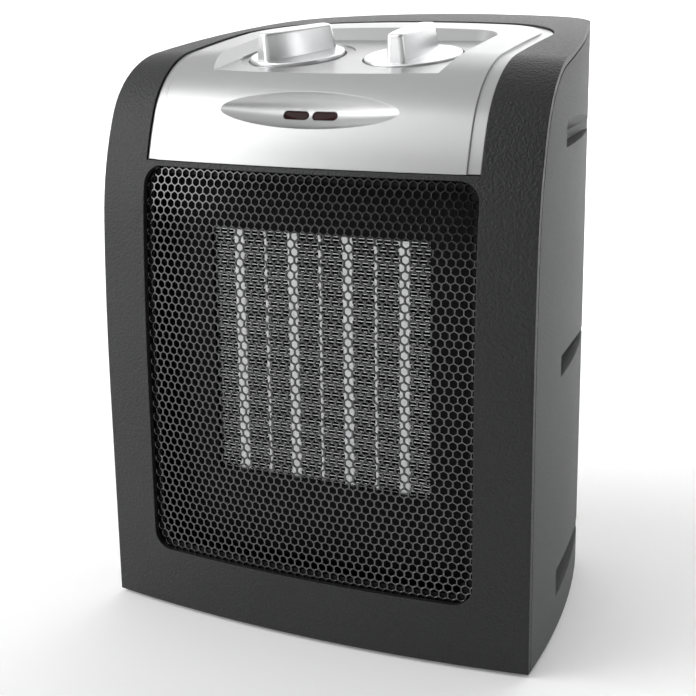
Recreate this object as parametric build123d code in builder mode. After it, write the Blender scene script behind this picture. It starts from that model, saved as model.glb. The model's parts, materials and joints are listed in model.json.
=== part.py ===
"""Ceramic space heater: bowed front case, silver control panel, honeycomb grille, PTC element and fan.

Frame: origin under the middle of the case on the surface it stands on, +Z up, front towards -Y.
All sizes are in millimetres.
"""
from build123d import *
from math import acos, asin, cos, degrees, radians, sin
import os

# ---------------------------------------------------------------- driving dimensions
# overall case
WIDTH = 190.0                # across the front corners
DEPTH = 140.0                # front apex to rear wall
HEIGHT = 245.6               # floor to the rear edge of the roof
FOOT_PROUD = 1.5             # gap under the case left by the feet

# plan outline
BOW_R = 613.0                # bow of the front, seen from above
BOW_TILT = 22.0              # lean of the bow's axis, which also crowns the roof
SIDE_R = 495.0               # bulge of each side, seen from above
SIDE_TOE = 3.0               # turn of the side inwards where it leaves the front
REAR_CORNER_R = 20.0

# side outline: radius and turn of each arc, from the upright front over the brow to the roof
CHEEK_R, CHEEK_TURN = 1116.0, 3.6
LEAN_R, LEAN_TURN = 142.0, 17.4
BROW_R, BROW_TURN = 38.0, 59.2
ROOF_R = 890.0

# shells
FACE_T = 2.5                 # front shell
WALL = 2.2                   # rear shell and base plate
SEAM_GAP = 0.7               # shadow line between the shells
SEAM_DEEP = 0.9
FIT_GAP = 0.3                # clearance between fixed pieces that slot together
OVER = 30.0                  # how far cutting shapes run past what they cut

# grille window
WINDOW_W = 145.8
WINDOW_LOW = 26.2
WINDOW_R = 8.0
WINDOW_SILL = 2.0            # strip of shell between the window and the control panel
MESH_T = 0.7
MESH_LAP = 0.8               # mesh caught behind the window's edge
FRAME_BAND = 6.0             # width of the frame that clamps the mesh
FRAME_T = 2.0

# control panel
PANEL_W = 145.0
PANEL_DROP = 19.5            # lower edge below the start of the brow
PANEL_RUN = 107.0            # rear edge behind the front apex
PANEL_CORNER_R = 26.0
PANEL_LAP = 3.0
PANEL_LAP_T = 1.7
BORDER_W = 5.3               # lowered border beside the raised field
BORDER_REAR_W = 10.0
BORDER_DEEP = 0.8

# dished recess and lamps
DISH_LEAN = 24.5             # lean of the panel at the dish
DISH_HALF = 58.0             # half length of the spindle that cuts the dish
DISH_R = 8.5                 # its largest radius
DISH_OUT = 3.5               # its axis stands this far outside the panel
DISH_WALL = 2.0
LAMP_L, LAMP_H = 11.0, 3.6
LAMP_GAP = 1.5               # strip left between the two lamp windows
LAMP_DROP = 0.8              # windows below the dish's middle line
LENS_LIP = 1.0
NEON_R, NEON_L = 2.0, 9.0

# knob platform
PLATFORM_TILT = 9.5
PLATFORM_SINK = 5.6          # platform under the roof at the knobs
KNOB_BACK = 53.4             # knobs behind the front apex
KNOB_SPACING = 52.0
POCKET_HALF_W = 49.0
POCKET_REAR = 30.0           # pocket floor's rear end behind the knobs
POCKET_FLARE = 42.0          # slope of the pocket's walls
POCKET_R = 9.0
POCKET_WALL = 3.0
KNOB_R = 19.5
WELL_GAP = 0.7
WELL_DEEP = 2.2
WELL_FLOOR = 2.0
RING_R = 23.8                # shallow ring around the left knob
RING_DEEP = 0.7
KNOB_PROUD = 0.9             # knob skirt above the platform
KNOB_EDGE_R = 0.72
KNOB_LIFT = 0.5              # knob skirt above the floor of its well
GRIP_L, GRIP_W, GRIP_H = 34.0, 11.4, 11.0
GRIP_END = 0.7               # width of its ends as a share of its middle
GRIP_FALL = 2.5              # slope of its top, down towards the tail
GRIP_DRAFT = 5.0
GRIP_CORNER_R = 2.2
GRIP_EDGE_R = 1.2
MODE_TURN = 60.0             # direction of each knob's nose from -X, seen from above
THERMOSTAT_TURN = 90.0

# controls under the panel
SHAFT_R = 3.0
SHAFT_RUN = 0.05             # radial running clearance
SHAFT_REACH = 6.5            # shaft end above the platform, inside the knob
BUSH_R = 4.7
BUSH_H = 6.0
NUT_R, NUT_H = 6.5, 2.2
BRACKET_T = 1.6
BRACKET_DROP = 13.0          # bracket's top under the platform
BRACKET_L, BRACKET_W = 92.0, 34.0
SWITCH_W, SWITCH_H = 30.0, 18.0
THERMOSTAT_W, THERMOSTAT_H = 34.0, 14.0
CONTROL_CORNER_R = 2.0
TAB_W, TAB_T, TAB_L = 4.8, 0.8, 6.0    # push-on terminals under both controls
POST_R = 3.0

# heating element
ELEMENT_BACK = 21.4          # its front face behind the front apex
ELEMENT_D = 16.0
ELEMENT_BELOW = 33.8         # element above the window's lower edge
ELEMENT_ABOVE = 24.4         # and below its upper edge
BAR_PITCH = 24.6
BAR_COUNT = 4
BAR_W = 4.2
STRIP_W = 1.0
FIN_PITCH = 2.75
FIN_FOLD = 2.4               # flat width of the strip at each fold
TERMINAL_W, TERMINAL_H = 6.3, 8.0
TRAY_WALL = 4.0
TRAY_LIP = 1.0
BAFFLE_T = 2.0
BAFFLE_IN = 1.0              # baffle inside the window's outline on each side

# fan
FAN_R = 47.0
FAN_GAP = 2.5
FAN_HUB_R, FAN_HUB_L = 17.0, 16.0
BLADE_COUNT = 7
BLADE_CHORD = 24.0
BLADE_T = 1.6
BLADE_PITCH = 32.0
BLADE_ROOT = 0.8             # where a blade starts, as a share of the hub's radius
FAN_HUB_EDGE_R = 2.0
BULKHEAD_BACK = 64.0         # plate that carries the fan, behind the front apex
BULKHEAD_T = 2.5
BULKHEAD_HALF_W = 76.0
MOTOR_R, MOTOR_L = 22.0, 26.0
MOTOR_EDGE_R = 3.0
MOTOR_GAP = 4.0              # between the fan's hub and the motor
MOTOR_SHAFT_R = 2.0
MOTOR_BEARING_R, MOTOR_BEARING_L = 5.0, 2.5
SPIDER_T = 2.0
SPIDER_ARMS, SPIDER_START = 3, 90
SPIDER_ARM_W = 8.0
SPIDER_POST_OUT = 8.0        # its posts outside the fan's tips

# side scoops: height and mouth of each, their front end and their depth there
SCOOP_HIGH = (208.2, 117.4, 28.0)
SCOOP_H = (10.4, 8.7, 11.7)
SCOOP_BACK = 49.4            # front end behind the front apex
SCOOP_DEEP = 6.0
SCOOP_RUN_IN = 8.6           # turn of the scoop's floor inwards towards the rear
SCOOP_FALL = 1.15            # drop of its sloping upper face for each millimetre inwards
SCOOP_WALL = 1.5
SCOOP_SLIT = 30.0            # length of the air slit under the sloping face

# rear wall
SLOT_W, SLOT_L, SLOT_PITCH = 3.2, 46.0, 6.4
SLOT_COLUMNS, SLOT_ROWS = 15, 2
SLOT_BRIDGE = 8.0
GLAND_R, GLAND_BORE_R, GLAND_L = 6.5, 3.6, 9.0
GLAND_FLANGE_R, GLAND_FLANGE_T = 9.0, 2.0
GLAND_X, GLAND_Z = 45.0, 24.0
GLAND_GAP = 0.05

# base
FOOT_R, FOOT_PEG_R = 6.5, 2.5
FOOT_X, FOOT_FRONT, FOOT_REAR = 62.0, 22.0, 24.0
BOSS_R, BOSS_H = 5.0, 14.0
BOSS_X, BOSS_FRONT, BOSS_REAR = 60.0, 9.0, 7.0
SCREW_R, SCREW_HEAD_R, SCREW_HEAD_H, SCREW_L = 1.5, 3.0, 1.6, 10.0
PLUNGER_R, PLUNGER_HEAD_R, PLUNGER_TRAVEL = 3.0, 4.6, 4.0
PLUNGER_RUN = 0.08
PLUNGER_X, PLUNGER_BACK = -60.0, 86.0
TIP_SWITCH_W, TIP_SWITCH_D, TIP_SWITCH_H = 20.0, 16.0, 24.0
SPRING_WIRE_R, SPRING_R, SPRING_TURNS = 0.35, 3.6, 5

# safety parts and terminal block
CUTOUT_R, CUTOUT_H = 6.5, 5.0
CUTOUT_EAR_L, CUTOUT_EAR_W, CUTOUT_EAR_T = 20.0, 6.0, 0.8
FUSE_R, FUSE_L = 2.0, 11.0
FUSE_LEAD_R, FUSE_LEAD_L = 0.5, 24.0
BLOCK_L, BLOCK_W, BLOCK_H = 34.0, 14.0, 12.0
BLOCK_BACK = 22.0            # its middle behind the bulkhead
BLOCK_WAYS, BLOCK_WAY_PITCH, BLOCK_ROW_PITCH = 3, 11.0, 7.0
BLOCK_WAY_R, BLOCK_WAY_DEEP = 2.0, 8.0

# ---------------------------------------------------------------- derived places
FRONT = -DEPTH / 2
REAR = DEPTH / 2
BASE = FOOT_PROUD
FLOOR = BASE + WALL
CHORD = FRONT + BOW_R - (BOW_R ** 2 - (WIDTH / 2) ** 2) ** 0.5

# side outline, angles measured from the vertical
LEAN_START = radians(CHEEK_TURN)
BROW_START = radians(CHEEK_TURN + LEAN_TURN)
ROOF_START = radians(CHEEK_TURN + LEAN_TURN + BROW_TURN)
BROW_RUN = CHEEK_R * (1 - cos(LEAN_START)) + LEAN_R * (cos(LEAN_START) - cos(BROW_START))
ROOF_RUN = BROW_RUN + BROW_R * (cos(BROW_START) - cos(ROOF_START))
ROOF_END = acos(cos(ROOF_START) - (DEPTH - ROOF_RUN) / ROOF_R)
ROOF_CENTER_Y = FRONT + ROOF_RUN + ROOF_R * cos(ROOF_START)
ROOF_CENTER_Z = HEIGHT - ROOF_R * sin(ROOF_END)
BROW_TOP = ROOF_CENTER_Z + ROOF_R * sin(ROOF_START)
BROW_LOW = BROW_TOP - BROW_R * (sin(ROOF_START) - sin(BROW_START))
UPRIGHT_TOP = BROW_LOW - LEAN_R * (sin(BROW_START) - sin(LEAN_START)) - CHEEK_R * sin(LEAN_START)

PANEL_LOW = BROW_LOW - PANEL_DROP
WINDOW_HIGH = PANEL_LOW - WINDOW_SILL
ELEMENT_Y = FRONT + ELEMENT_BACK
ELEMENT_REAR = ELEMENT_Y + ELEMENT_D
ELEMENT_LOW = WINDOW_LOW + ELEMENT_BELOW
ELEMENT_HIGH = WINDOW_HIGH - ELEMENT_ABOVE
ELEMENT_Z = (ELEMENT_LOW + ELEMENT_HIGH) / 2
ELEMENT_H = ELEMENT_HIGH - ELEMENT_LOW
ELEMENT_W = BAR_COUNT * BAR_PITCH + STRIP_W
FIN_W = (BAR_PITCH - BAR_W - STRIP_W) / 2
BULKHEAD_Y = FRONT + BULKHEAD_BACK
KNOB_Y = FRONT + KNOB_BACK
FAN_Y = BULKHEAD_Y + BULKHEAD_T - FAN_HUB_L / 2
MOTOR_Y = FAN_Y + FAN_HUB_L + MOTOR_GAP

ROOF_AT_KNOBS = ROOF_CENTER_Z + (ROOF_R ** 2 - (ROOF_CENTER_Y - KNOB_Y) ** 2) ** 0.5
PLATFORM = Plane(
    origin=(0, KNOB_Y, ROOF_AT_KNOBS - PLATFORM_SINK),
    x_dir=(1, 0, 0),
    z_dir=(0, -sin(radians(PLATFORM_TILT)), cos(radians(PLATFORM_TILT))),
)
DISH = radians(DISH_LEAN)
DISH_FACE = Plane(
    origin=(
        0,
        FRONT + BROW_RUN + BROW_R * (cos(BROW_START) - cos(DISH)),
        BROW_LOW + BROW_R * (sin(DISH) - sin(BROW_START)),
    ),
    x_dir=(1, 0, 0),
    z_dir=(0, -cos(DISH), sin(DISH)),
)

os.makedirs("parts", exist_ok=True)


def save(part, label):
    """Label a finished piece and write it under its own name."""
    part.label = label
    export_step(part, f"parts/{label}.step")


# ---------------------------------------------------------------- case outline
def side_outline(inset):
    """The case from the side on its middle plane: upright front, leaning cheek, round brow, rising roof."""
    with BuildSketch(Plane.YZ) as outline:
        with BuildLine():
            front = Line((FRONT + inset, -OVER), (FRONT + inset, UPRIGHT_TOP))
            cheek = JernArc(front @ 1, front % 1, CHEEK_R - inset, -CHEEK_TURN)
            lean = JernArc(cheek @ 1, cheek % 1, LEAN_R - inset, -LEAN_TURN)
            brow = JernArc(lean @ 1, lean % 1, BROW_R - inset, -BROW_TURN)
            roof = JernArc(brow @ 1, brow % 1, ROOF_R - inset, degrees(ROOF_START - ROOF_END))
            eave = Line(roof @ 1, roof @ 1 + (roof % 1) * OVER)
            Polyline(eave @ 1, (REAR + OVER, -OVER), front @ 0)
        make_face()
    return outline.sketch


def plan_outline(inset):
    """The case from above: square front that the bow trims, sides toed in, round rear corners."""
    toe = radians(SIDE_TOE)
    start = (WIDTH / 2 - inset * cos(toe), CHORD - inset * sin(toe))
    radius = SIDE_R - inset
    side_turn = degrees(asin(sin(toe) + (REAR - inset - start[1]) / radius) - toe)
    with BuildSketch(Plane.XY) as outline:
        with BuildLine():
            cheek = Line((start[0], FRONT - OVER), start)
            side = JernArc(cheek @ 1, (-sin(toe), cos(toe)), radius, side_turn)
            rear = Line(side @ 1, (0, REAR - inset))
            Line(rear @ 1, (0, FRONT - OVER))
            Line((0, FRONT - OVER), cheek @ 0)
        make_face()
        corner = outline.vertices().sort_by(Axis.Y)[-2:].sort_by(Axis.X)[-1]
        fillet(corner, REAR_CORNER_R - inset)
        mirror(about=Plane.YZ)
    return outline.sketch


def face_block(face_inset):
    """Everything behind the bowed front and roof, set in from them."""
    lean = radians(BOW_TILT)
    reach = BOW_R * cos(lean)
    bow_axis = Axis(
        (0, FRONT + reach * cos(lean), HEIGHT / 2 - reach * sin(lean)),
        (0, sin(lean), cos(lean)),
    )
    with BuildPart() as block:
        add(side_outline(face_inset))
        revolve(axis=bow_axis)
        with BuildSketch(Plane.XY.offset(BASE)):
            Rectangle(WIDTH + 2 * OVER, DEPTH + 2 * OVER)
        extrude(amount=HEIGHT + OVER, mode=Mode.INTERSECT)
    return block.part


def case_block(side_inset, face_inset):
    """The solid inside the case outline, set in from the sides and from the front and roof."""
    with BuildPart() as block:
        add(face_block(face_inset))
        with BuildSketch(Plane.XY.offset(BASE)):
            add(plan_outline(side_inset))
        extrude(amount=HEIGHT + OVER, mode=Mode.INTERSECT)
    return block.part


def window_prism(grow, depth):
    """The grille window's rounded outline, run back from in front of the case."""
    with BuildPart() as prism:
        with BuildSketch(Plane.XZ.offset(-(FRONT - OVER))):
            with Locations((0, (WINDOW_LOW + WINDOW_HIGH) / 2)):
                RectangleRounded(
                    WINDOW_W + 2 * grow, WINDOW_HIGH - WINDOW_LOW + 2 * grow, WINDOW_R + grow
                )
        extrude(amount=-(OVER + depth))
    return prism.part


def panel_prism(grow, low, rear_grow):
    """The control panel's outline from above, round at its rear corners, run up from a given height."""
    half_w = PANEL_W / 2 + grow
    rear = FRONT + PANEL_RUN + rear_grow
    with BuildPart() as prism:
        with BuildSketch(Plane.XY.offset(low)) as outline:
            with Locations((0, (FRONT - OVER + rear) / 2)):
                Rectangle(2 * half_w, rear - FRONT + OVER)
            fillet(outline.vertices().group_by(Axis.Y)[-1], PANEL_CORNER_R + grow)
        extrude(amount=HEIGHT)
    return prism.part


outside = case_block(0, 0)
behind_border = face_block(BORDER_DEEP)
behind_face = face_block(FACE_T)
behind_mesh = face_block(FACE_T + MESH_T)
behind_frame = face_block(FACE_T + MESH_T + FRAME_T)
behind_lap = face_block(FACE_T + PANEL_LAP_T)

# ---------------------------------------------------------------- front shell
with BuildPart() as front_shell:
    add(outside)
    add(behind_face, mode=Mode.SUBTRACT)
    add(window_prism(0, ELEMENT_BACK), mode=Mode.SUBTRACT)
    add(panel_prism(0, PANEL_LOW, 0), mode=Mode.SUBTRACT)
    with BuildSketch(Plane.XY.offset(FLOOR)):
        with Locations((-BOSS_X, FRONT + BOSS_FRONT), (BOSS_X, FRONT + BOSS_FRONT)):
            Circle(BOSS_R)
    extrude(amount=BOSS_H)
    with Locations((-BOSS_X, FRONT + BOSS_FRONT, FLOOR), (BOSS_X, FRONT + BOSS_FRONT, FLOOR)):
        Cylinder(
            SCREW_R, SCREW_L, align=(Align.CENTER, Align.CENTER, Align.MIN), mode=Mode.SUBTRACT
        )
save(front_shell.part, "front_shell")

# ---------------------------------------------------------------- rear shell
SCOOP_RUN = FRONT + SCOOP_BACK - CHORD
SIDE_SAG_AT_SCOOP = SCOOP_RUN * sin(radians(SIDE_TOE)) + SCOOP_RUN ** 2 / (2 * SIDE_R)


def scoop_plane(side, high):
    """Where a side scoop starts, looking along it: x outwards, y up or down."""
    run_in = radians(SCOOP_RUN_IN)
    return Plane(
        origin=(side * (WIDTH / 2 - SIDE_SAG_AT_SCOOP), FRONT + SCOOP_BACK, high),
        x_dir=(side * cos(run_in), sin(run_in), 0),
        z_dir=(side * sin(run_in), -cos(run_in), 0),
    )


def scoop(side, high, mouth, wall):
    """One side scoop, running in towards the rear: sloping upper face, floor and lower lip."""
    start = scoop_plane(side, high)
    up = start.y_dir.Z
    deep = SCOOP_DEEP + wall
    out = SCOOP_DEEP
    with BuildPart() as cut:
        with BuildSketch(start.offset(wall)):
            with BuildLine():
                Polyline(
                    (out, up * (out * SCOOP_FALL + 2 * wall)),
                    (-deep, up * (2 * wall - deep * SCOOP_FALL)),
                    (-deep, -up * (mouth + wall)),
                    (out, -up * (mouth + wall)),
                    close=True,
                )
            make_face()
        extrude(amount=DEPTH, dir=-start.z_dir)
    return cut.part


def air_slit(side, high, mouth):
    """The opening at the foot of a scoop's sloping face, through to the inside."""
    start = scoop_plane(side, high)
    up = start.y_dir.Z
    slope_foot = SCOOP_DEEP * SCOOP_FALL
    with BuildPart() as cut:
        with BuildSketch(start):
            with Locations((-SCOOP_DEEP, -up * (slope_foot + mouth) / 2)):
                Rectangle(4 * SCOOP_WALL, mouth - slope_foot)
        extrude(amount=SCOOP_SLIT, dir=-start.z_dir)
    return cut.part


REAR_FACE = Plane(origin=(0, REAR, 0), x_dir=(-1, 0, 0), z_dir=(0, 1, 0))
BOSSES_FRONT = [(side * BOSS_X, FRONT + BOSS_FRONT) for side in (-1, 1)]
BOSSES_REAR = [(side * BOSS_X, REAR - BOSS_REAR) for side in (-1, 1)]

inside_wall = case_block(WALL / 2, FACE_T + SEAM_GAP)
scoop_liners = []
for side in (-1, 1):
    for high, mouth in zip(SCOOP_HIGH, SCOOP_H):
        with BuildPart() as liner:
            add(scoop(side, high, mouth, SCOOP_WALL))
            add(inside_wall, mode=Mode.INTERSECT)
        scoop_liners.append(liner.part)

with BuildPart() as rear_shell:
    add(case_block(0, FACE_T + SEAM_GAP))
    add(case_block(SEAM_DEEP, FACE_T))
    add(case_block(WALL, 0), mode=Mode.SUBTRACT)
    for scoop_liner in scoop_liners:
        add(scoop_liner)
    for side in (-1, 1):
        for high, mouth in zip(SCOOP_HIGH, SCOOP_H):
            add(scoop(side, high, mouth, 0), mode=Mode.SUBTRACT)
            add(air_slit(side, high, mouth), mode=Mode.SUBTRACT)
    with BuildSketch(REAR_FACE):
        with Locations((0, ELEMENT_Z)):
            with GridLocations(SLOT_PITCH, SLOT_L + SLOT_BRIDGE, SLOT_COLUMNS, SLOT_ROWS):
                SlotOverall(SLOT_L, SLOT_W, rotation=90)
        with Locations((-GLAND_X, GLAND_Z)):
            Circle(GLAND_R)
    extrude(amount=-2 * WALL, mode=Mode.SUBTRACT)
    with BuildSketch(Plane.XY.offset(FLOOR)):
        with Locations(*BOSSES_REAR):
            Circle(BOSS_R)
    extrude(amount=BOSS_H)
    with BuildSketch(Plane.XY.offset(FLOOR)):
        with Locations(*BOSSES_REAR):
            Circle(SCREW_R)
    extrude(amount=SCREW_L, mode=Mode.SUBTRACT)
save(rear_shell.part, "rear_shell")

# ---------------------------------------------------------------- base plate, feet and screws
FEET = [
    (side * FOOT_X, place) for side in (-1, 1) for place in (FRONT + FOOT_FRONT, REAR - FOOT_REAR)
]
SCREWS = BOSSES_FRONT + BOSSES_REAR
PLUNGER_Y = FRONT + PLUNGER_BACK

with BuildPart() as base_plate:
    add(case_block(WALL, FACE_T))
    with BuildSketch(Plane.XY.offset(BASE)):
        Rectangle(WIDTH, DEPTH)
    extrude(amount=WALL, mode=Mode.INTERSECT)
    with BuildSketch(Plane.XY.offset(BASE)):
        with Locations(*FEET):
            Circle(FOOT_PEG_R)
        with Locations(*SCREWS):
            Circle(SCREW_R)
        with Locations((PLUNGER_X, PLUNGER_Y)):
            Circle(PLUNGER_R + PLUNGER_RUN)
    extrude(amount=WALL, mode=Mode.SUBTRACT)
    with BuildSketch(Plane.XY.offset(BASE)):
        with Locations(*SCREWS):
            Circle(SCREW_HEAD_R)
    extrude(amount=SCREW_HEAD_H, mode=Mode.SUBTRACT)
save(base_plate.part, "base_plate")

with BuildPart() as rubber_feet:
    with BuildSketch():
        with Locations(*FEET):
            Circle(FOOT_R)
    extrude(amount=FOOT_PROUD)
    chamfer(rubber_feet.faces().group_by(Axis.Z)[0].edges(), FOOT_PROUD / 3)
    with BuildSketch(Plane.XY.offset(FOOT_PROUD)):
        with Locations(*FEET):
            Circle(FOOT_PEG_R)
    extrude(amount=WALL)
save(rubber_feet.part, "rubber_feet")

with BuildPart() as base_screws:
    with BuildSketch(Plane.XY.offset(BASE)):
        with Locations(*SCREWS):
            Circle(SCREW_HEAD_R)
    extrude(amount=SCREW_HEAD_H)
    with BuildSketch(Plane.XY.offset(BASE)):
        with Locations(*SCREWS):
            Circle(SCREW_R)
    extrude(amount=WALL + SCREW_L)
    with BuildSketch(Plane.XY.offset(BASE)):
        with Locations(*SCREWS):
            Rectangle(SCREW_HEAD_R, SCREW_R / 2)
            Rectangle(SCREW_R / 2, SCREW_HEAD_R)
    extrude(amount=SCREW_HEAD_H / 2, mode=Mode.SUBTRACT)
save(base_screws.part, "base_screws")

# ---------------------------------------------------------------- grille
with BuildPart() as grille_mesh:
    add(behind_face)
    add(behind_mesh, mode=Mode.SUBTRACT)
    add(window_prism(MESH_LAP, ELEMENT_BACK), mode=Mode.INTERSECT)
save(grille_mesh.part, "grille_mesh")

GRILLE_POSTS = [
    (side * (WINDOW_W / 2 - POST_R), z)
    for side in (-1, 1)
    for z in (WINDOW_LOW + 2 * POST_R, WINDOW_HIGH - 2 * POST_R)
]
with BuildPart() as grille_frame:
    add(behind_mesh)
    add(behind_frame, mode=Mode.SUBTRACT)
    add(window_prism(FRAME_BAND / 2, ELEMENT_BACK), mode=Mode.INTERSECT)
    add(window_prism(-FRAME_BAND / 2, ELEMENT_BACK), mode=Mode.SUBTRACT)
    with BuildSketch(Plane.XZ.offset(BAFFLE_T - ELEMENT_Y)):
        with Locations(*GRILLE_POSTS):
            Circle(POST_R)
    extrude(amount=ELEMENT_BACK, mode=Mode.ADD)
    add(behind_mesh, mode=Mode.INTERSECT)
save(grille_frame.part, "grille_frame")

# ---------------------------------------------------------------- heating element
with BuildPart() as element_tray:
    with BuildSketch(Plane.XZ.offset(BAFFLE_T - ELEMENT_Y)):
        with Locations((0, (WINDOW_LOW + WINDOW_HIGH) / 2)):
            RectangleRounded(WINDOW_W - 2 * BAFFLE_IN, WINDOW_HIGH - WINDOW_LOW - 2 * BAFFLE_IN, WINDOW_R)
    extrude(amount=-BAFFLE_T)
    with BuildSketch(Plane.XZ.offset(-ELEMENT_Y)):
        with Locations((0, ELEMENT_Z)):
            Rectangle(ELEMENT_W + 2 * TRAY_WALL, ELEMENT_H + 2 * TRAY_WALL)
    extrude(amount=-ELEMENT_D)
    with BuildSketch(Plane.XZ.offset(-ELEMENT_Y)):
        with Locations((0, ELEMENT_Z)):
            Rectangle(ELEMENT_W, ELEMENT_H)
    extrude(amount=-ELEMENT_D, mode=Mode.SUBTRACT)
    with BuildSketch(Plane.XZ.offset(BAFFLE_T - ELEMENT_Y)):
        with Locations((0, ELEMENT_Z)):
            Rectangle(ELEMENT_W - 2 * TRAY_LIP, ELEMENT_H - 2 * TRAY_LIP)
    extrude(amount=-BAFFLE_T, mode=Mode.SUBTRACT)
save(element_tray.part, "element_tray")

BAR_X = [(k - (BAR_COUNT - 1) / 2) * BAR_PITCH for k in range(BAR_COUNT)]
STRIP_X = [(k - BAR_COUNT / 2) * BAR_PITCH for k in range(BAR_COUNT + 1)]


def upright_bars(places, width, label):
    """Full-height bars of the element, side by side."""
    with BuildPart() as bars:
        with BuildSketch(Plane.XZ.offset(-ELEMENT_Y)):
            with Locations(*[(x, ELEMENT_Z) for x in places]):
                Rectangle(width, ELEMENT_H)
        extrude(amount=-ELEMENT_D)
    save(bars.part, label)


upright_bars(BAR_X, BAR_W, "ptc_bars")
upright_bars(STRIP_X, STRIP_W, "contact_strips")

FIN_FOLDS = 2 * int(ELEMENT_H / FIN_PITCH)
with BuildPart() as radiator_fins:
    with BuildSketch(Plane.XZ.offset(-ELEMENT_Y)):
        with BuildLine():
            left = [
                ((FIN_W - FIN_FOLD if k % 2 else 0) - FIN_W / 2, ELEMENT_LOW + ELEMENT_H / FIN_FOLDS * k)
                for k in range(FIN_FOLDS + 1)
            ]
            right = [(x + FIN_FOLD, z) for x, z in reversed(left)]
            Polyline(*left, *right, close=True)
        make_face()
    extrude(amount=-ELEMENT_D)
fin_pack = radiator_fins.part
with BuildPart() as radiator_fins:
    with Locations(*[(x + side * (BAR_W + FIN_W) / 2, 0, 0) for x in BAR_X for side in (-1, 1)]):
        add(fin_pack)
save(radiator_fins.part, "radiator_fins")

with BuildPart() as element_terminals:
    with BuildSketch(Plane.XY.offset(ELEMENT_HIGH + TRAY_WALL)):
        with Locations(*[(x, ELEMENT_Y + ELEMENT_D / 2) for x in STRIP_X[::2]]):
            Rectangle(STRIP_W, TERMINAL_W)
    extrude(amount=TERMINAL_H)
save(element_terminals.part, "element_terminals")

with BuildPart() as air_duct:
    with BuildSketch(Plane.XZ.offset(-ELEMENT_REAR)):
        with Locations((0, ELEMENT_Z)):
            Rectangle(ELEMENT_W + 2 * TRAY_WALL, ELEMENT_H + 2 * TRAY_WALL)
            Rectangle(
                ELEMENT_W + 2 * TRAY_WALL - 2 * WALL,
                ELEMENT_H + 2 * TRAY_WALL - 2 * WALL,
                mode=Mode.SUBTRACT,
            )
    extrude(amount=-(BULKHEAD_Y - ELEMENT_REAR))
save(air_duct.part, "air_duct")

# ---------------------------------------------------------------- fan and motor
SPIDER_POST_R = FAN_R + SPIDER_POST_OUT
FAN_CENTER = Plane(origin=(0, FAN_Y, ELEMENT_Z), x_dir=(-1, 0, 0), z_dir=(0, 1, 0))
MOTOR_FACE = Plane(origin=(0, MOTOR_Y, ELEMENT_Z), x_dir=(-1, 0, 0), z_dir=(0, 1, 0))
BULKHEAD_FACE = Plane(origin=(0, BULKHEAD_Y, 0), x_dir=(-1, 0, 0), z_dir=(0, 1, 0))
POST_L = MOTOR_Y - BULKHEAD_Y - BULKHEAD_T

with BuildPart() as fan_bulkhead:
    with BuildSketch(BULKHEAD_FACE):
        with Locations((0, (FLOOR + PANEL_LOW) / 2)):
            Rectangle(2 * BULKHEAD_HALF_W, PANEL_LOW - FLOOR)
        with Locations((0, ELEMENT_Z)):
            Circle(FAN_R + FAN_GAP, mode=Mode.SUBTRACT)
    extrude(amount=BULKHEAD_T)
    with BuildSketch(MOTOR_FACE):
        with PolarLocations(SPIDER_POST_R, SPIDER_ARMS, start_angle=SPIDER_START):
            Circle(POST_R)
    extrude(amount=-POST_L)
save(fan_bulkhead.part, "fan_bulkhead")

with BuildPart() as motor_spider:
    with BuildSketch(MOTOR_FACE):
        Circle(MOTOR_R)
        with PolarLocations(SPIDER_POST_R / 2, SPIDER_ARMS, start_angle=SPIDER_START):
            Rectangle(SPIDER_POST_R, SPIDER_ARM_W)
        with PolarLocations(SPIDER_POST_R, SPIDER_ARMS, start_angle=SPIDER_START):
            Circle(SPIDER_ARM_W / 2)
        Circle(MOTOR_BEARING_R, mode=Mode.SUBTRACT)
    extrude(amount=SPIDER_T)
save(motor_spider.part, "motor_spider")

with BuildPart() as motor:
    with BuildSketch(MOTOR_FACE.offset(SPIDER_T)):
        Circle(MOTOR_R)
    extrude(amount=MOTOR_L)
    fillet(motor.faces().sort_by(Axis.Y)[-1].edges(), MOTOR_EDGE_R)
    with BuildSketch(MOTOR_FACE.offset(SPIDER_T)):
        Circle(MOTOR_BEARING_R)
    extrude(amount=-MOTOR_BEARING_L - SPIDER_T)
    with BuildSketch(MOTOR_FACE.offset(SPIDER_T + MOTOR_L / 2)):
        Circle(MOTOR_SHAFT_R + SHAFT_RUN)
    extrude(amount=-MOTOR_L, mode=Mode.SUBTRACT)
save(motor.part, "motor")

with BuildPart() as fan_shaft:
    with BuildSketch(FAN_CENTER):
        Circle(MOTOR_SHAFT_R)
    extrude(amount=MOTOR_Y + SPIDER_T + MOTOR_L / 2 - FIT_GAP - FAN_Y)
save(fan_shaft.part, "fan_shaft")

with BuildPart() as fan_rotor:
    with BuildSketch(FAN_CENTER):
        Circle(FAN_HUB_R)
    extrude(amount=FAN_HUB_L)
    fillet(fan_rotor.faces().sort_by(Axis.Y)[0].edges(), FAN_HUB_EDGE_R)
    for blade in range(BLADE_COUNT):
        turn = radians(360 / BLADE_COUNT * blade)
        pitch = radians(BLADE_PITCH)
        outward = Vector(cos(turn), 0, sin(turn))
        around = Vector(-sin(turn), 0, cos(turn))
        root = Plane(
            origin=Vector(0, FAN_Y + FAN_HUB_L / 2, ELEMENT_Z) + outward * FAN_HUB_R * BLADE_ROOT,
            x_dir=around * cos(pitch) + Vector(0, sin(pitch), 0),
            z_dir=outward,
        )
        with BuildSketch(root):
            Rectangle(BLADE_CHORD, BLADE_T)
        extrude(amount=FAN_R)
    with BuildSketch(FAN_CENTER.offset(-FAN_HUB_L)):
        Circle(FAN_R)
    extrude(amount=3 * FAN_HUB_L, mode=Mode.INTERSECT)
    with BuildSketch(FAN_CENTER):
        Circle(MOTOR_SHAFT_R)
    extrude(amount=FAN_HUB_L, mode=Mode.SUBTRACT)
save(fan_rotor.part, "fan_rotor")

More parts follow.
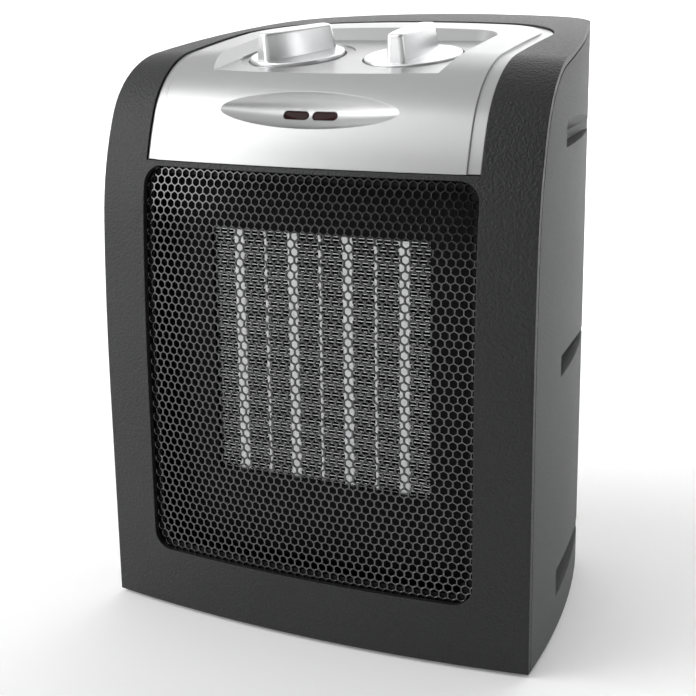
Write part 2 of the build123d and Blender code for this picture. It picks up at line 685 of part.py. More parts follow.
# ---------------------------------------------------------------- control panel
def spindle(grow):
    """The shape that dishes the panel: an arc turned about the line between its own tips."""
    with BuildPart() as shape:
        with BuildSketch(DISH_FACE.offset(DISH_OUT)):
            with BuildLine():
                curve = ThreePointArc((-DISH_HALF, 0), (0, DISH_R + grow), (DISH_HALF, 0))
                Line(curve @ 1, curve @ 0)
            make_face()
        tips = DISH_FACE.offset(DISH_OUT)
        revolve(axis=Axis(tips.origin, tips.x_dir))
    return shape.part


def pocket(grow, floor):
    """The space over the knob platform, flaring upwards; grown, it is the tray around it."""
    with BuildPart() as space:
        with BuildSketch(PLATFORM.offset(floor)) as outline:
            with Locations((0, (POCKET_REAR - KNOB_BACK) / 2)):
                Rectangle(2 * (POCKET_HALF_W + grow), POCKET_REAR + KNOB_BACK + 2 * grow)
            fillet(outline.vertices().group_by(Axis.Y)[-1], POCKET_R + grow)
        extrude(amount=KNOB_BACK / 2, taper=-POCKET_FLARE)
    return space.part


KNOB_PLACES = [(-KNOB_SPACING / 2, 0), (KNOB_SPACING / 2, 0)]
LAMP_PLACES = [(side * (LAMP_L + LAMP_GAP) / 2, -LAMP_DROP) for side in (-1, 1)]

with BuildPart() as border:
    add(outside)
    add(behind_border, mode=Mode.INTERSECT)
    add(behind_face, mode=Mode.SUBTRACT)
    add(panel_prism(-FIT_GAP, PANEL_LOW + FIT_GAP, -FIT_GAP), mode=Mode.INTERSECT)
with BuildPart() as lap:
    add(behind_face)
    add(behind_lap, mode=Mode.SUBTRACT)
    add(panel_prism(PANEL_LAP, WINDOW_HIGH + FRAME_BAND / 2 + FIT_GAP, PANEL_LAP), mode=Mode.INTERSECT)
with BuildPart() as tray:
    add(pocket(POCKET_WALL, -WELL_DEEP - WELL_FLOOR))
    add(spindle(DISH_WALL))
    add(outside, mode=Mode.INTERSECT)
    add(panel_prism(-BORDER_W, PANEL_LOW + FIT_GAP, BORDER_W - BORDER_REAR_W), mode=Mode.INTERSECT)
with BuildPart() as control_panel:
    add(outside)
    add(behind_face, mode=Mode.SUBTRACT)
    add(panel_prism(-BORDER_W, PANEL_LOW + FIT_GAP, BORDER_W - BORDER_REAR_W), mode=Mode.INTERSECT)
    add(border.part)
    add(lap.part)
    add(tray.part)
    add(pocket(0, 0), mode=Mode.SUBTRACT)
    add(spindle(0), mode=Mode.SUBTRACT)
    with BuildSketch(PLATFORM.offset(-WELL_DEEP)):
        with Locations(*KNOB_PLACES):
            Circle(KNOB_R + WELL_GAP)
    extrude(amount=WELL_DEEP, mode=Mode.SUBTRACT)
    with BuildSketch(PLATFORM.offset(-RING_DEEP)):
        with Locations(KNOB_PLACES[0]):
            Circle(RING_R)
    extrude(amount=RING_DEEP, mode=Mode.SUBTRACT)
    with BuildSketch(PLATFORM.offset(-WELL_DEEP)):
        with Locations(*KNOB_PLACES):
            Circle(BUSH_R + FIT_GAP)
    extrude(amount=-WELL_FLOOR, mode=Mode.SUBTRACT)
    with BuildSketch(DISH_FACE):
        with Locations(*LAMP_PLACES):
            SlotOverall(LAMP_L, LAMP_H)
    extrude(amount=-KNOB_BACK / 2, mode=Mode.SUBTRACT)
save(control_panel.part, "control_panel")

with BuildPart() as dish_floor:
    add(spindle(DISH_WALL))
    add(spindle(FIT_GAP), mode=Mode.SUBTRACT)


def lamp_lens(place, label):
    """A capsule lens that fills its window, with a lip behind the dish."""
    with BuildPart() as lens:
        with BuildSketch(DISH_FACE):
            with Locations(place):
                SlotOverall(LAMP_L, LAMP_H)
        extrude(amount=-KNOB_BACK / 4)
        add(dish_floor.part, mode=Mode.INTERSECT)
        with BuildSketch(DISH_FACE.offset(DISH_OUT - DISH_R - DISH_WALL)):
            with Locations(place):
                SlotOverall(LAMP_L - LENS_LIP, LAMP_H - LENS_LIP)
        extrude(amount=DISH_WALL)
    save(lens.part, label)


lamp_lens(LAMP_PLACES[0], "power_lamp_lens")
lamp_lens(LAMP_PLACES[1], "heat_lamp_lens")

NEON_FACE = DISH_FACE.offset(DISH_OUT - DISH_R - DISH_WALL - NEON_R)
with BuildPart() as neon_lamps:
    for x, y in LAMP_PLACES:
        with Locations(NEON_FACE):
            with Locations(Pos(x, y, 0) * Rot(0, 90, 0)):
                Cylinder(NEON_R, NEON_L)
    fillet(neon_lamps.edges().filter_by(GeomType.CIRCLE), NEON_R / 2)
save(neon_lamps.part, "neon_lamps")

with BuildPart() as lamp_holder:
    with BuildSketch(NEON_FACE.offset(-NEON_R)):
        with Locations((0, -LAMP_DROP)):
            RectangleRounded(2 * LAMP_L + 3 * LAMP_GAP, 2 * LAMP_H, LAMP_GAP)
    extrude(amount=-BRACKET_T)
save(lamp_holder.part, "lamp_holder")

# ---------------------------------------------------------------- knobs
def knob(place, turn, label):
    """A round skirt with a tapered, boat-shaped finger grip across it, bored for its shaft."""
    nose = radians(180 + turn)
    fall = radians(GRIP_FALL)
    draft = radians(GRIP_DRAFT)
    seat = Plane(
        origin=PLATFORM.from_local_coords(Vector(*place, 0)),
        x_dir=PLATFORM.x_dir * cos(nose) + PLATFORM.y_dir * sin(nose),
        z_dir=PLATFORM.z_dir,
    )
    with BuildPart() as piece:
        with BuildSketch(seat.offset(KNOB_LIFT - WELL_DEEP)):
            Circle(KNOB_R)
        extrude(amount=WELL_DEEP - KNOB_LIFT + KNOB_PROUD)
        rim = piece.faces().sort_by(Axis(seat.origin, seat.z_dir))[-1]
        fillet(rim.edges(), KNOB_EDGE_R)
        crest = Plane(
            origin=seat.from_local_coords(Vector(0, 0, KNOB_PROUD + GRIP_H - GRIP_L / 2 * sin(fall))),
            x_dir=seat.x_dir * cos(fall) + seat.z_dir * sin(fall),
            z_dir=seat.z_dir * cos(fall) - seat.x_dir * sin(fall),
        )
        for level, inset in ((seat.offset(KNOB_PROUD), 0), (crest, GRIP_H * sin(draft))):
            with BuildSketch(level) as grip:
                with BuildLine():
                    half_l, half_w = GRIP_L / 2 - inset, GRIP_W / 2 - inset
                    end_w = GRIP_W / 2 * GRIP_END - inset
                    left_flank = ThreePointArc((half_l, end_w), (0, half_w), (-half_l, end_w))
                    stern = Line(left_flank @ 1, (-half_l, -end_w))
                    right_flank = ThreePointArc(stern @ 1, (0, -half_w), (half_l, -end_w))
                    Line(right_flank @ 1, left_flank @ 0)
                make_face()
                fillet(grip.vertices(), GRIP_CORNER_R)
        loft()
        top = piece.faces().sort_by(Axis(seat.origin, seat.z_dir))[-1]
        fillet(top.edges(), GRIP_EDGE_R)
        with BuildSketch(seat.offset(KNOB_LIFT - WELL_DEEP)):
            Circle(SHAFT_R)
        extrude(amount=SHAFT_REACH + WELL_DEEP - KNOB_LIFT, mode=Mode.SUBTRACT)
    save(piece.part, label)


knob(KNOB_PLACES[0], MODE_TURN, "mode_knob")
knob(KNOB_PLACES[1], THERMOSTAT_TURN, "thermostat_knob")


def shaft(place, label):
    """A control shaft from inside its switch up into its knob."""
    with BuildPart() as rod:
        with BuildSketch(PLATFORM.offset(-BRACKET_DROP - BRACKET_T)):
            with Locations(place):
                Circle(SHAFT_R)
        extrude(amount=BRACKET_DROP + BRACKET_T + SHAFT_REACH)
    save(rod.part, label)


shaft(KNOB_PLACES[0], "mode_shaft")
shaft(KNOB_PLACES[1], "thermostat_shaft")


def control(place, width, height, label):
    """A switch or thermostat body under the bracket, with its threaded bush round the shaft."""
    with BuildPart() as body:
        with BuildSketch(PLATFORM.offset(-BRACKET_DROP - BRACKET_T)):
            with Locations(place):
                RectangleRounded(width, width, CONTROL_CORNER_R)
        extrude(amount=-height)
        with BuildSketch(PLATFORM.offset(-BRACKET_DROP - BRACKET_T)):
            with Locations(place):
                Circle(BUSH_R)
        extrude(amount=BRACKET_T + BUSH_H)
        with BuildSketch(PLATFORM.offset(-BRACKET_DROP - BRACKET_T)):
            with Locations(place):
                Circle(SHAFT_R + SHAFT_RUN)
        extrude(amount=BRACKET_T + BUSH_H, mode=Mode.SUBTRACT)
        with BuildSketch(PLATFORM.offset(-BRACKET_DROP - BRACKET_T - height)):
            with Locations(place):
                with GridLocations(width / 3, width / 3, 2, 2):
                    Rectangle(TAB_W, TAB_T)
        extrude(amount=-TAB_L)
    save(body.part, label)


control(KNOB_PLACES[0], SWITCH_W, SWITCH_H, "mode_switch")
control(KNOB_PLACES[1], THERMOSTAT_W, THERMOSTAT_H, "thermostat")

BRACKET_POSTS = [(0, POST_R - BRACKET_W / 2), (0, BRACKET_W / 2 - POST_R)]
with BuildPart() as control_bracket:
    with BuildSketch(PLATFORM.offset(-BRACKET_DROP)):
        RectangleRounded(BRACKET_L, BRACKET_W, POST_R)
        with Locations(*KNOB_PLACES):
            Circle(BUSH_R, mode=Mode.SUBTRACT)
    extrude(amount=-BRACKET_T)
    with BuildSketch(PLATFORM.offset(-BRACKET_DROP)):
        with Locations(*BRACKET_POSTS):
            Circle(POST_R)
    extrude(amount=BRACKET_DROP - WELL_DEEP - WELL_FLOOR)
save(control_bracket.part, "control_bracket")

with BuildPart() as control_nuts:
    with BuildSketch(PLATFORM.offset(-BRACKET_DROP)):
        with Locations(*KNOB_PLACES):
            RegularPolygon(NUT_R, 6)
            Circle(BUSH_R, mode=Mode.SUBTRACT)
    extrude(amount=NUT_H)
save(control_nuts.part, "control_nuts")

# ---------------------------------------------------------------- safety parts and wiring
TIP_FLOOR = FLOOR + PLUNGER_TRAVEL
with BuildPart() as tip_switch:
    with BuildSketch(Plane.XY.offset(FLOOR)):
        with Locations((PLUNGER_X, PLUNGER_Y)):
            Rectangle(TIP_SWITCH_W, TIP_SWITCH_D)
    extrude(amount=TIP_SWITCH_H)
    with BuildSketch(Plane.XY.offset(FLOOR)):
        with Locations((PLUNGER_X, PLUNGER_Y)):
            Circle(PLUNGER_HEAD_R + FIT_GAP)
    extrude(amount=TIP_SWITCH_H - WALL, mode=Mode.SUBTRACT)
save(tip_switch.part, "tip_switch")

with BuildPart() as tip_plunger:
    with BuildSketch():
        with Locations((PLUNGER_X, PLUNGER_Y)):
            Circle(PLUNGER_R)
    extrude(amount=TIP_FLOOR + FIT_GAP)
    with BuildSketch(Plane.XY.offset(TIP_FLOOR + FIT_GAP)):
        with Locations((PLUNGER_X, PLUNGER_Y)):
            Circle(PLUNGER_HEAD_R)
    extrude(amount=WALL)
save(tip_plunger.part, "tip_plunger")

SPRING_LOW = TIP_FLOOR + FIT_GAP + WALL + FIT_GAP
SPRING_H = FLOOR + TIP_SWITCH_H - WALL - SPRING_LOW
with BuildPart() as tip_spring:
    with BuildLine():
        coil = Helix(
            pitch=(SPRING_H - 2 * SPRING_WIRE_R) / SPRING_TURNS,
            height=SPRING_H - 2 * SPRING_WIRE_R,
            radius=SPRING_R,
            center=(PLUNGER_X, PLUNGER_Y, SPRING_LOW + SPRING_WIRE_R),
        )
    with BuildSketch(Plane(origin=coil @ 0, z_dir=coil % 0)):
        Circle(SPRING_WIRE_R)
    sweep()
save(tip_spring.part, "tip_spring")

with BuildPart() as thermal_cutout:
    with BuildSketch(Plane.XY.offset(ELEMENT_HIGH + TRAY_WALL)):
        with Locations((BAR_PITCH, ELEMENT_Y + ELEMENT_D / 2)):
            Circle(CUTOUT_R)
    extrude(amount=CUTOUT_H)
    with BuildSketch(Plane.XY.offset(ELEMENT_HIGH + TRAY_WALL)):
        with Locations((BAR_PITCH, ELEMENT_Y + ELEMENT_D / 2)):
            Rectangle(CUTOUT_EAR_L, CUTOUT_EAR_W)
    extrude(amount=CUTOUT_EAR_T)
save(thermal_cutout.part, "thermal_cutout")

with BuildPart() as thermal_fuse:
    with Locations((-BAR_PITCH, ELEMENT_Y + ELEMENT_D / 2, ELEMENT_HIGH + TRAY_WALL + FUSE_R)):
        Cylinder(FUSE_R, FUSE_L, rotation=(0, 90, 0))
        Cylinder(FUSE_LEAD_R, FUSE_LEAD_L, rotation=(0, 90, 0))
save(thermal_fuse.part, "thermal_fuse")

with BuildPart() as terminal_block:
    with BuildSketch(Plane.XY.offset(FLOOR)):
        with Locations((GLAND_X, BULKHEAD_Y + BLOCK_BACK)):
            Rectangle(BLOCK_L, BLOCK_W)
    extrude(amount=BLOCK_H)
    with BuildSketch(Plane.XY.offset(FLOOR + BLOCK_H)):
        with Locations((GLAND_X, BULKHEAD_Y + BLOCK_BACK)):
            with GridLocations(BLOCK_WAY_PITCH, BLOCK_ROW_PITCH, BLOCK_WAYS, 2):
                Circle(BLOCK_WAY_R)
    extrude(amount=-BLOCK_WAY_DEEP, mode=Mode.SUBTRACT)
save(terminal_block.part, "terminal_block")

with BuildPart() as cord_gland:
    with BuildSketch(REAR_FACE.offset(-GLAND_L)):
        with Locations((-GLAND_X, GLAND_Z)):
            Circle(GLAND_R)
    extrude(amount=GLAND_L)
    with BuildSketch(REAR_FACE.offset(-WALL - GLAND_GAP)):
        with Locations((-GLAND_X, GLAND_Z)):
            Circle(GLAND_FLANGE_R)
    extrude(amount=-GLAND_FLANGE_T)
    with BuildSketch(REAR_FACE.offset(-GLAND_L)):
        with Locations((-GLAND_X, GLAND_Z)):
            Circle(GLAND_BORE_R)
    extrude(amount=GLAND_L, mode=Mode.SUBTRACT)
save(cord_gland.part, "cord_gland")
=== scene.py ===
"""Looks of the ceramic space heater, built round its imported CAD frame. Sizes are in metres."""
import json
from math import cos, pi, radians, sin, sqrt

import bmesh
import bpy
import numpy as np
from mathutils import Matrix, Vector
from mathutils.bvhtree import BVHTree


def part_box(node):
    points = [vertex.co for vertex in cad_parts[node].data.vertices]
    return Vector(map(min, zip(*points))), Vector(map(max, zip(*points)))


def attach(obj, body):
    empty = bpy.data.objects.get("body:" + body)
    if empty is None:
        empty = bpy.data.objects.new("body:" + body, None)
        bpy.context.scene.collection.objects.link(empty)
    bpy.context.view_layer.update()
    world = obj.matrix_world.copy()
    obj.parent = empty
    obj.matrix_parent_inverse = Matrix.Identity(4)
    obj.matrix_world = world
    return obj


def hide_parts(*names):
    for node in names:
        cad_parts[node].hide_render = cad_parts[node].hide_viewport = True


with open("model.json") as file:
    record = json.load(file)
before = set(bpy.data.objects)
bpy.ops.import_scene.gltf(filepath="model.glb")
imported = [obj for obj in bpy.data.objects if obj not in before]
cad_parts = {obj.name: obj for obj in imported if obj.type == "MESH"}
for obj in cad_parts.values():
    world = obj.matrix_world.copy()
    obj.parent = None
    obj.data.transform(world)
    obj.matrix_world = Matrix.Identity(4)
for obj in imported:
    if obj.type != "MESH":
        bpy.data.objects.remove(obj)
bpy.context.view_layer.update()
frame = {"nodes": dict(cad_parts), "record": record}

MM = 0.001

# ---------------------------------------------------------------- camera
CAMERA_AT = Vector((0.2635, -0.5308, 0.2543))
CAMERA_YAW, CAMERA_PITCH, CAMERA_ROLL = radians(27.53), radians(14.01), radians(-0.71)
CAMERA_LENS, CAMERA_SENSOR = 73.19, 36.0
CAMERA_NEAR, CAMERA_FAR = 0.01, 50.0

# ---------------------------------------------------------------- finish grain
GRAIN_DETAIL, GRAIN_ROUGHNESS = 3.0, 0.6
PATCH_SCALE = 0.02           # scale of the broad patches, as a share of the grain's
PATCH_DETAIL, PATCH_ROUGHNESS = 2.0, 0.5
PATCH_WEIGHT = 0.3           # patches against grain in the tone
TONE_LOW, TONE_HIGH = 0.35, 0.95
GLOSS_LOW, GLOSS_HIGH = 0.3, 0.7
GLOSS_SPREAD = 0.1
COAT_ROUGHNESS = 0.2
EDGE_SAMPLES = 6

# ---------------------------------------------------------------- honeycomb
HEX_PITCH = 3.56 * MM        # between holes in a row
HEX_ROW = 0.849 * HEX_PITCH  # between rows
HOLE_FLAT = 0.40             # hole radius towards its neighbours, as a share of the pitch
HOLE_CORNER = 0.44           # and towards its corners
RIM_OUT = 0.05               # width of the rolled rim round each hole, as a share of the pitch
RIM_DEEP = 0.2 * MM
SHEET_T = 0.7 * MM
SAMPLES_ACROSS, SAMPLES_UP = 41, 47
BOW_POWERS = (0, 2, 4)       # even, as the sheet is the same on both sides
LEAN_POWERS = range(7)
IN_FRONT = -1.0              # where the rays that sample the sheet start


def add_node(tree, kind, **values):
    """Adds a node; names with a capital set an input, the others an attribute."""
    node = tree.nodes.new(kind)
    for key, value in values.items():
        if key[0].isupper():
            node.inputs[key.replace("_", " ")].default_value = value
        else:
            setattr(node, key, value)
    return node


def finish_material(name, colour, roughness, grain=0.4 * MM, bump=0.02 * MM, spread=0.12, metallic=0.0,
                    edge=0.0, coat=0.0, specular=0.5, transmission=0.0):
    """A procedural finish: fine grain in colour, gloss and relief, with softened edges."""
    material = bpy.data.materials.new(name)
    material.use_nodes = True
    tree = material.node_tree
    shader = tree.nodes["Principled BSDF"]
    shader.inputs["Metallic"].default_value = metallic
    shader.inputs["Coat Weight"].default_value = coat
    shader.inputs["Coat Roughness"].default_value = COAT_ROUGHNESS
    shader.inputs["Specular IOR Level"].default_value = specular
    shader.inputs["Transmission Weight"].default_value = transmission
    place = add_node(tree, "ShaderNodeTexCoord")
    noise = add_node(tree, "ShaderNodeTexNoise", Scale=1 / grain, Detail=GRAIN_DETAIL,
                     Roughness=GRAIN_ROUGHNESS)
    broad = add_node(tree, "ShaderNodeTexNoise", Scale=PATCH_SCALE / grain, Detail=PATCH_DETAIL,
                     Roughness=PATCH_ROUGHNESS)
    for texture in (noise, broad):
        tree.links.new(place.outputs["Object"], texture.inputs["Vector"])
    blend = add_node(tree, "ShaderNodeMath", operation="MULTIPLY_ADD")
    blend.inputs[1].default_value = PATCH_WEIGHT
    tree.links.new(broad.outputs["Fac"], blend.inputs[0])
    tree.links.new(noise.outputs["Fac"], blend.inputs[2])
    tone = add_node(tree, "ShaderNodeMapRange", From_Min=TONE_LOW, From_Max=TONE_HIGH,
                    To_Min=1 - spread, To_Max=1 + spread)
    tree.links.new(blend.outputs[0], tone.inputs["Value"])
    tint = add_node(tree, "ShaderNodeVectorMath", operation="SCALE")
    tint.inputs[0].default_value = colour
    tree.links.new(tone.outputs["Result"], tint.inputs["Scale"])
    tree.links.new(tint.outputs["Vector"], shader.inputs["Base Color"])
    gloss = add_node(tree, "ShaderNodeMapRange", From_Min=GLOSS_LOW, From_Max=GLOSS_HIGH,
                     To_Min=roughness * (1 - GLOSS_SPREAD), To_Max=roughness * (1 + GLOSS_SPREAD))
    tree.links.new(noise.outputs["Fac"], gloss.inputs["Value"])
    tree.links.new(gloss.outputs["Result"], shader.inputs["Roughness"])
    relief = add_node(tree, "ShaderNodeBump", Strength=1.0, Distance=bump)
    tree.links.new(noise.outputs["Fac"], relief.inputs["Height"])
    if edge:
        soft = add_node(tree, "ShaderNodeBevel", samples=EDGE_SAMPLES, Radius=edge)
        tree.links.new(soft.outputs["Normal"], relief.inputs["Normal"])
    tree.links.new(relief.outputs["Normal"], shader.inputs["Normal"])
    return material


FINISHES = {
    "front_plastic": finish_material("front_plastic", (0.011, 0.0115, 0.0115), 0.45, grain=1.0 * MM,
                                     bump=0.5 * MM, spread=0.5, edge=0.5 * MM, specular=0.4),
    "rear_plastic": finish_material("rear_plastic", (0.046, 0.0485, 0.0478), 0.6, grain=1.0 * MM,
                                    bump=0.35 * MM, spread=0.3, edge=0.4 * MM),
    "black_plastic": finish_material("black_plastic", (0.003, 0.003, 0.003), 0.7, edge=0.3 * MM,
                                     specular=0.2),
    "panel_silver": finish_material("panel_silver", (0.46, 0.462, 0.465), 0.36, grain=0.15 * MM,
                                    bump=0.004 * MM, spread=0.06, metallic=0.75, edge=0.5 * MM,
                                    coat=0.25),
    "knob_silver": finish_material("knob_silver", (0.9, 0.905, 0.91), 0.3, grain=0.2 * MM,
                                   bump=0.003 * MM, spread=0.06, metallic=0.8, edge=0.4 * MM,
                                   coat=0.2),
    "grille_metal": finish_material("grille_metal", (0.11, 0.11, 0.111), 0.2, grain=0.3 * MM,
                                    bump=0.002 * MM, spread=0.1, metallic=1.0),
    "element_aluminium": finish_material("element_aluminium", (0.85, 0.85, 0.86), 0.3,
                                         grain=0.25 * MM, bump=0.01 * MM, metallic=1.0),
    # Painted shade: a near-black stand-in for the shade deep between the fins, used on all but their
    # lit front edges.
    "element_painted_shade": finish_material("element_painted_shade", (0.008, 0.008, 0.008), 0.8, grain=0.25 * MM,
                                     specular=0.1),
    "brass": finish_material("brass", (0.75, 0.55, 0.25), 0.3, grain=0.3 * MM, metallic=1.0),
    "zinc_steel": finish_material("zinc_steel", (0.6, 0.61, 0.62), 0.32, grain=0.3 * MM,
                                  metallic=1.0, edge=0.2 * MM),
    "motor_paint": finish_material("motor_paint", (0.2, 0.21, 0.22), 0.45, edge=0.4 * MM),
    "fan_plastic": finish_material("fan_plastic", (0.02, 0.02, 0.022), 0.42, edge=0.3 * MM),
    "switch_plastic": finish_material("switch_plastic", (0.68, 0.66, 0.6), 0.45, edge=0.3 * MM),
    "lamp_red": finish_material("lamp_red", (0.02, 0.0008, 0.001), 0.25, grain=0.8 * MM,
                                bump=0.002 * MM, specular=0.12, edge=0.3 * MM),
    "neon_glass": finish_material("neon_glass", (0.9, 0.87, 0.82), 0.08, transmission=0.8),
    "ceramic_body": finish_material("ceramic_body", (0.26, 0.262, 0.25), 0.42, grain=0.8 * MM,
                                    spread=0.45, edge=0.2 * MM),
    "foot_rubber": finish_material("foot_rubber", (0.02, 0.02, 0.02), 0.8, bump=0.04 * MM),
}


def paint(obj, *finishes):
    obj.data.materials.clear()
    for finish in finishes:
        obj.data.materials.append(FINISHES[finish])


def new_piece(name, vertices, faces):
    """A mesh object with its faces turned outwards."""
    mesh = bpy.data.meshes.new(name)
    shape = bmesh.new()
    corners = [shape.verts.new(v) for v in vertices]
    for face in faces:
        shape.faces.new([corners[k] for k in face])
    bmesh.ops.recalc_face_normals(shape, faces=shape.faces)
    shape.to_mesh(mesh)
    shape.free()
    obj = bpy.data.objects.new(name, mesh)
    bpy.context.scene.collection.objects.link(obj)
    return obj


NODE_SLOTS = {part["node"]: part["material_slot"] for part in frame["record"]["subparts"]}
for node_name, node_object in frame["nodes"].items():
    paint(node_object, NODE_SLOTS[node_name])


# ---------------------------------------------------------------- honeycomb grille
def surface_from_front(node):
    """A smooth polynomial y(x, z) through the front of a bowed CAD sheet, odd bow terms left out."""
    mesh = frame["nodes"][node].data
    tree = BVHTree.FromPolygons([v.co for v in mesh.vertices], [p.vertices for p in mesh.polygons])
    low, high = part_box(node)
    points = []
    for x in np.linspace(low.x, high.x, SAMPLES_ACROSS):
        for z in np.linspace(low.z, high.z, SAMPLES_UP):
            hit = tree.ray_cast(Vector((x, IN_FRONT, z)), Vector((0, 1, 0)))[0]
            if hit:
                points.append((x, hit.y, z))
    x, y, z = np.array(points).T

    def terms(x, z):
        x, z = x / high.x, (z - low.z) / (high.z - low.z)
        return np.stack([x ** i * z ** j for i in BOW_POWERS for j in LEAN_POWERS], axis=-1)

    weights = np.linalg.lstsq(terms(x, z), y, rcond=None)[0]
    return lambda x, z: terms(np.asarray(x, float), np.asarray(z, float)) @ weights


def honeycomb(name, node):
    """A bowed sheet of rounded hexagonal holes with rolled rims, in place of the plain CAD sheet."""
    depth_at = surface_from_front(node)
    low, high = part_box(node)
    third = HEX_ROW / 3
    rows = int((high.z - low.z) / HEX_ROW) + 1
    columns = int((high.x - low.x) / HEX_PITCH) + 1
    mid_z = (low.z + high.z) / 2
    flat, corner = HOLE_FLAT * HEX_PITCH, HOLE_CORNER * HEX_PITCH
    rim = RIM_OUT * HEX_PITCH
    spokes = []
    for k in range(6):
        angle = radians(90 + 60 * k)
        after = radians(90 + 60 * (k + 1))
        a = (HEX_PITCH / sqrt(3) * cos(angle), 2 * third * sin(angle))
        b = (HEX_PITCH / sqrt(3) * cos(after), 2 * third * sin(after))
        for point, reach in ((a, corner), (((a[0] + b[0]) / 2, (a[1] + b[1]) / 2), flat)):
            away = Vector(point).normalized()
            spokes.append((Vector(point), away * (reach + rim), away * reach))
    places, sheet, faces = {}, [], []

    def corner_at(x, z, level):
        key = (round(x / MM, 2), round(z / MM, 2), level)
        if key not in places:
            places[key] = len(sheet)
            sheet.append((x, z, level))
        return places[key]

    for row in range(-(rows // 2) - 1, rows // 2 + 2):
        for column in range(-(columns // 2) - 1, columns // 2 + 2):
            x = (column + (row % 2) / 2) * HEX_PITCH
            z = mid_z + row * HEX_ROW
            if abs(x) > high.x or not low.z < z < high.z:
                continue
            rings = []
            for level, which in ((0, 0), (0, 1), (RIM_DEEP, 2), (SHEET_T, 2), (SHEET_T, 0)):
                rings.append([corner_at(x + s[which].x, z + s[which].y, level) for s in spokes])
            for inner, outer in zip(rings[1:], rings):
                for k in range(len(spokes)):
                    after = (k + 1) % len(spokes)
                    faces.append((outer[k], outer[after], inner[after], inner[k]))
    x, z, level = np.array(sheet).T
    y = depth_at(x, z) + level
    used = {}
    for face in faces:
        for a, b in zip(face, face[1:] + face[:1]):
            used[frozenset((a, b))] = used.get(frozenset((a, b)), 0) + 1
    for a, b in [tuple(edge) for edge, count in used.items() if count == 1]:
        if sheet[a][2] == 0 and sheet[b][2] == 0:
            c = corner_at(sheet[b][0], sheet[b][1], SHEET_T)
            d = corner_at(sheet[a][0], sheet[a][1], SHEET_T)
            faces.append((a, b, c, d))
    obj = new_piece(name, np.stack([x, y, z], axis=-1).tolist(), faces)
    paint(obj, "grille_metal")
    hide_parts(node)
    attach(obj, "case")


honeycomb("honeycomb_grille", "grille_mesh")


# ---------------------------------------------------------------- element fins
FIN_STEP = 1.375 * MM        # between the legs of a folded fin
FIN_T = 0.3 * MM
BEND_STEPS = 5


def upright_edges(node):
    """The left and right edge of each upright piece of a CAD node."""
    across = sorted({round(v.co.x, 5) for v in frame["nodes"][node].data.vertices})
    return list(zip(across[::2], across[1::2]))


def folded_fins(name, node):
    """Ribbons of thin aluminium folded to and fro between the bars and the contact strips; only their
    front edges show the aluminium, the other faces carry painted shade.
    """
    low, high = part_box(node)
    solids = sorted(upright_edges("ptc_bars") + upright_edges("contact_strips"))
    legs = round((high.z - low.z) / FIN_STEP)
    step = (high.z - low.z - FIN_T) / legs
    bend = step / 2
    vertices, faces, painted_shade_faces = [], [], []
    for (_, left), (right, _) in zip(solids, solids[1:]):
        centre = []
        for leg in range(legs + 1):
            z = low.z + FIN_T / 2 + leg * step
            ends = [left + bend + FIN_T / 2, right - bend - FIN_T / 2]
            onward = 1 if leg % 2 == 0 else -1
            centre += [(x, z) for x in ends[::onward]]
            if leg < legs:
                for k in range(1, BEND_STEPS):
                    angle = k / BEND_STEPS * pi
                    centre.append((ends[::onward][1] + onward * bend * sin(angle),
                                   z + bend - bend * cos(angle)))
        line = np.array(centre)
        along = np.gradient(line, axis=0)
        along /= np.linalg.norm(along, axis=1)[:, None]
        away = np.stack([-along[:, 1], along[:, 0]], axis=1) * FIN_T / 2
        base = len(vertices)
        for (x, z), (dx, dz) in zip(line, away):
            vertices += [(x + side * dx, y, z + side * dz) for side in (-1, 1) for y in (low.y, high.y)]
        for k in range(len(line) - 1):
            a, b = base + 4 * k, base + 4 * k + 4
            faces += [(a, b, b + 2, a + 2), (a + 1, a + 3, b + 3, b + 1),
                      (a, a + 1, b + 1, b), (a + 2, b + 2, b + 3, a + 3)]
            # The front edge faces keep the bright aluminium; every other face gets the painted shade
            # material, dark as the shade between the fins.
            painted_shade_faces += [0, 1, 1, 1]
        last = base + 4 * (len(line) - 1)
        faces += [(base, base + 2, base + 3, base + 1), (last, last + 1, last + 3, last + 2)]
        painted_shade_faces += [1, 1]
    obj = new_piece(name, vertices, faces)
    paint(obj, "element_aluminium", "element_painted_shade")
    obj.data.polygons.foreach_set("material_index", painted_shade_faces)
    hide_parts(node)
    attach(obj, "case")


folded_fins("folded_fins", "radiator_fins")


# ---------------------------------------------------------------- studio
STAGE_W, STAGE_FRONT, STAGE_REAR, STAGE_H = 6.0, -3.0, 2.2, 3.0
SWEEP_R, SWEEP_STEPS = 0.8, 12
FLOOR_WHITE, FLOOR_ROUGHNESS, FLOOR_GLOW = 0.93, 0.7, 0.12
SKY_TOWARDS = (-1.0, 0.5, 0.6)
SKY_DIM_AT, SKY_WHITE_AT = -0.2, 0.25
SKY_DIM, SKY_WHITE, SKY_STRENGTH = 0.04, 1.0, 0.75
SOFTBOXES = {                # place, target, size and power in watts
    "key_left": ((-1.4, -0.9, 0.8), (0, 0, 0.12), (1.2, 1.4), 18),
    "front_top": ((-0.5, -1.7, 1.4), (0, 0, 0.15), (1.6, 0.8), 5.5),
    "fill_right": ((1.5, 0.1, 0.5), (0, 0, 0.12), (0.8, 1.0), 3.5),
    "top_rear": ((0.0, 0.8, 1.3), (0, 0, 0.15), (1.4, 0.6), 2),
    "backdrop_wash": ((0.0, 0.9, 1.4), (0, 2.2, 0.7), (2.5, 0.6), 45),
}


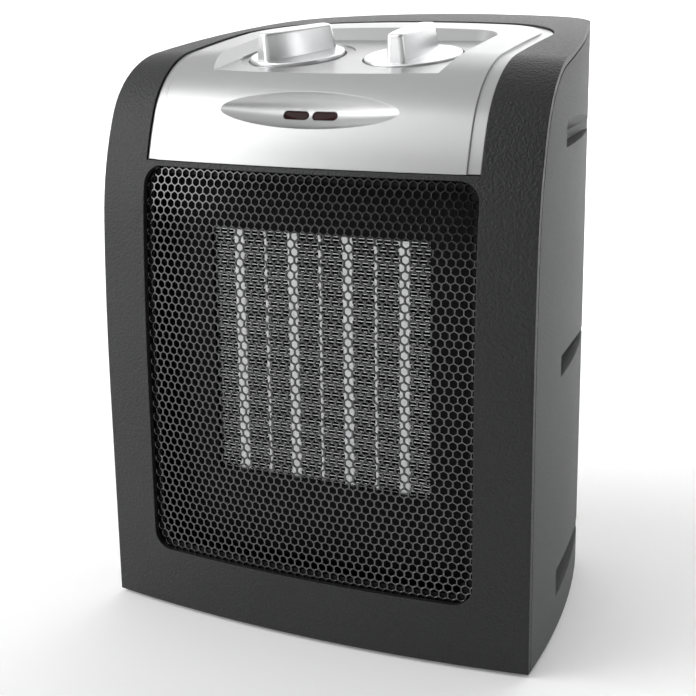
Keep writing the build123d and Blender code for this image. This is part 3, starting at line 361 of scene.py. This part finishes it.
def stage_sheet():
    """A pale floor that sweeps up into a backdrop."""
    profile = [(STAGE_FRONT, 0.0), (STAGE_REAR - SWEEP_R, 0.0)]
    for k in range(1, SWEEP_STEPS + 1):
        angle = k / SWEEP_STEPS * pi / 2
        profile.append((STAGE_REAR - SWEEP_R + SWEEP_R * sin(angle), SWEEP_R - SWEEP_R * cos(angle)))
    profile.append((STAGE_REAR, STAGE_H))
    vertices = [(side * STAGE_W / 2, y, z) for y, z in profile for side in (-1, 1)]
    faces = [(2 * k, 2 * k + 1, 2 * k + 3, 2 * k + 2) for k in range(len(profile) - 1)]
    mesh = bpy.data.meshes.new("studio_sweep")
    mesh.from_pydata(vertices, [], faces)
    obj = bpy.data.objects.new("studio_sweep", mesh)
    bpy.context.scene.collection.objects.link(obj)
    for polygon in mesh.polygons:
        polygon.use_smooth = True
    material = bpy.data.materials.new("studio_white")
    material.use_nodes = True
    shader = material.node_tree.nodes["Principled BSDF"]
    shader.inputs["Base Color"].default_value = (FLOOR_WHITE, FLOOR_WHITE, FLOOR_WHITE, 1)
    shader.inputs["Roughness"].default_value = FLOOR_ROUGHNESS
    shader.inputs["Emission Color"].default_value = (1, 1, 1, 1)
    shader.inputs["Emission Strength"].default_value = FLOOR_GLOW
    mesh.materials.append(material)


def softbox(name, place, target, size, power):
    data = bpy.data.lights.new(name, "AREA")
    data.shape = "RECTANGLE"
    data.size, data.size_y = size
    data.energy = power
    light = bpy.data.objects.new(name, data)
    light.location = place
    light.rotation_mode = "QUATERNION"
    light.rotation_quaternion = (Vector(target) - Vector(place)).to_track_quat("-Z", "Y")
    bpy.context.scene.collection.objects.link(light)


def sky():
    """White behind, overhead and to the left, dim in front on the right."""
    world = bpy.data.worlds.new("studio_world")
    world.use_nodes = True
    tree = world.node_tree
    place = add_node(tree, "ShaderNodeTexCoord")
    side = add_node(tree, "ShaderNodeVectorMath", operation="DOT_PRODUCT")
    side.inputs[1].default_value = SKY_TOWARDS
    tree.links.new(place.outputs["Generated"], side.inputs[0])
    fade = add_node(tree, "ShaderNodeMapRange", From_Min=SKY_DIM_AT, From_Max=SKY_WHITE_AT,
                    To_Min=SKY_DIM, To_Max=SKY_WHITE)
    tree.links.new(side.outputs["Value"], fade.inputs["Value"])
    tree.links.new(fade.outputs["Result"], tree.nodes["Background"].inputs["Color"])
    tree.nodes["Background"].inputs["Strength"].default_value = SKY_STRENGTH
    bpy.context.scene.world = world


def camera():
    data = bpy.data.cameras.new("camera")
    data.lens = CAMERA_LENS
    data.sensor_width = CAMERA_SENSOR
    data.clip_start, data.clip_end = CAMERA_NEAR, CAMERA_FAR
    eye = bpy.data.objects.new("camera", data)
    forward = Vector((-sin(CAMERA_YAW) * cos(CAMERA_PITCH), cos(CAMERA_YAW) * cos(CAMERA_PITCH),
                      -sin(CAMERA_PITCH)))
    level = Vector((cos(CAMERA_YAW), sin(CAMERA_YAW), 0))
    upright = level.cross(forward)
    right = cos(CAMERA_ROLL) * level + sin(CAMERA_ROLL) * upright
    up = -sin(CAMERA_ROLL) * level + cos(CAMERA_ROLL) * upright
    turn = Matrix((right, up, -forward)).transposed()
    eye.matrix_world = Matrix.Translation(CAMERA_AT) @ turn.to_4x4()
    bpy.context.scene.collection.objects.link(eye)
    bpy.context.scene.camera = eye


stage_sheet()
sky()
for light_name, (place, target, size, power) in SOFTBOXES.items():
    softbox(light_name, place, target, size, power)
camera()
bpy.context.scene.view_settings.view_transform = "Standard"
